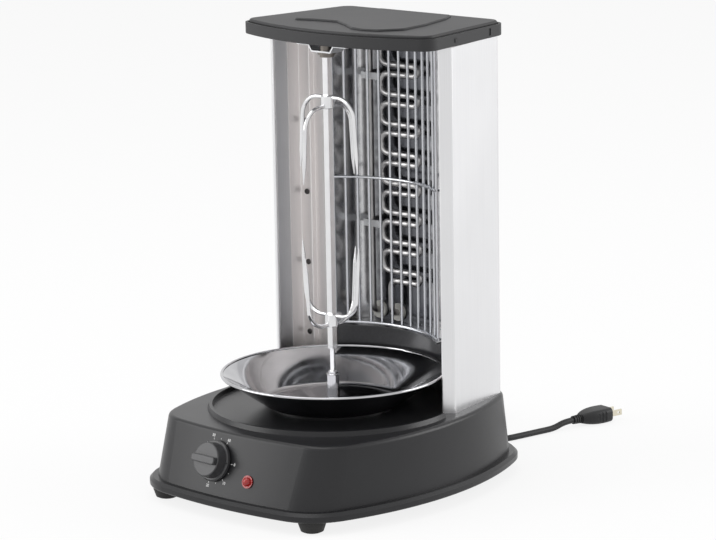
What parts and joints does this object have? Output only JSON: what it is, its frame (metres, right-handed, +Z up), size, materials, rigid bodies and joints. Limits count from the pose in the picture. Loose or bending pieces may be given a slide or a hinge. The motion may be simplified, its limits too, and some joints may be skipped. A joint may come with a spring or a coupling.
{
  "type": "electric skewer grill",
  "caption": "Upright electric skewer grill: a motor-turned spit with sliding forks over a lift-out drip pan, before a serpentine heater in an open steel housing on a base with a timer knob.",
  "frame": {"origin": "on the resting surface, on the skewer's vertical axis, which is midway between the base's left and right sides and its front and rear", "axes": "+Z up along the skewer, -Y towards the open front with the controls, +X to the right as seen from the front"},
  "size_m": [0.3, 0.5455, 0.4565],
  "materials": {
    "black_plastic": "satin moulded",
    "knob_plastic": "satin moulded",
    "bush_plastic": "plain",
    "terminal_plastic": "plain",
    "lens_red": "clear red",
    "lamp_glass": "clear",
    "foot_rubber": "plain",
    "cord_rubber": "plain",
    "plug_rubber": "moulded",
    "pin_brass": "nickel plated",
    "bush_brass": "turned",
    "screw_steel": "plated",
    "zinc_steel": "zinc plated",
    "spindle_steel": "turned",
    "skewer_chrome": "polished",
    "grille_chrome": "plated wire",
    "heater_steel": "bright sheathed tube",
    "ceramic": "glazed ceramic",
    "housing_steel": "stainless sheet",
    "liner_aluminium": "bright sheet",
    "guard_enamel": "dark enamel",
    "pan_steel": "pressed and polished"
  },
  "bodies": {
    "base": {"base_housing": "black_plastic", "base_plate": "black_plastic", "rubber_feet": "foot_rubber", "base_screws": "screw_steel", "gear_motor": "zinc_steel", "motor_bracket": "zinc_steel", "drive_bush": "bush_plastic", "timer_body": "zinc_steel", "lamp_lens": "lens_red", "lamp_body": "lamp_glass", "terminal_block": "terminal_plastic", "strain_relief": "cord_rubber", "steel_housing": "housing_steel", "left_bulkhead": "liner_aluminium", "right_bulkhead": "liner_aluminium", "bulkhead_screws": "screw_steel", "rear_reflector": "liner_aluminium", "heat_guard": "guard_enamel", "wire_grille": "grille_chrome", "heater_element": "heater_steel", "ceramic_terminals": "ceramic", "heater_clips": "zinc_steel", "thermal_cutout": "zinc_steel", "cover_frame": "black_plastic", "cover_lid": "black_plastic", "heat_shield": "zinc_steel", "bearing_bracket": "zinc_steel", "top_bush": "bush_brass", "cover_screws": "screw_steel", "cord_drop": "cord_rubber", "cord_coil": "cord_rubber", "cord_free": "cord_rubber", "plug_body": "plug_rubber", "plug_pins": "pin_brass"},
    "drive": {"motor_shaft": "zinc_steel", "drive_socket": "spindle_steel"},
    "skewer": {"skewer_bar": "skewer_chrome"},
    "upper_fork": {"upper_fork_hub": "skewer_chrome", "upper_fork_prongs": "skewer_chrome"},
    "upper_thumb": {"upper_thumb_screw": "screw_steel"},
    "lower_fork": {"lower_fork_hub": "skewer_chrome", "lower_fork_prongs": "skewer_chrome"},
    "lower_thumb": {"lower_thumb_screw": "screw_steel"},
    "knob": {"timer_knob": "knob_plastic", "timer_shaft": "zinc_steel"},
    "pan": {"drip_pan": "pan_steel", "pan_tube": "pan_steel"}
  },
  "joints": [
    {"name": "drive_spin", "type": "hinge", "parent": "base", "child": "drive", "pos_m": [0, 0, 0.09], "axis": [0, 0, 1], "continuous": true},
    {"name": "skewer_lift", "type": "slide", "parent": "drive", "child": "skewer", "axis": [0, 0, 1], "range_m": [0, 0.012]},
    {"name": "upper_fork_slide", "type": "slide", "parent": "skewer", "child": "upper_fork", "axis": [0, 0, 1], "range_m": [-0.03, 0.024]},
    {"name": "upper_thumb_turn", "type": "hinge", "parent": "upper_fork", "child": "upper_thumb", "pos_m": [0, 0.0096, 0.3852], "axis": [0, 1, 0], "range_deg": [0, 720]},
    {"name": "lower_fork_slide", "type": "slide", "parent": "skewer", "child": "lower_fork", "axis": [0, 0, 1], "range_m": [-0.02, 0.03]},
    {"name": "lower_thumb_turn", "type": "hinge", "parent": "lower_fork", "child": "lower_thumb", "pos_m": [0, 0.0096, 0.1682], "axis": [0, 1, 0], "range_deg": [0, 720]},
    {"name": "knob_turn", "type": "hinge", "parent": "base", "child": "knob", "pos_m": [-0.018, -0.1509, 0.052], "axis": [-0.0328, -0.9494, 0.3124], "range_deg": [-300, 0]},
    {"name": "pan_lift", "type": "slide", "parent": "base", "child": "pan", "axis": [0, 0, 1], "range_m": [0, 0.018]}
  ]
}
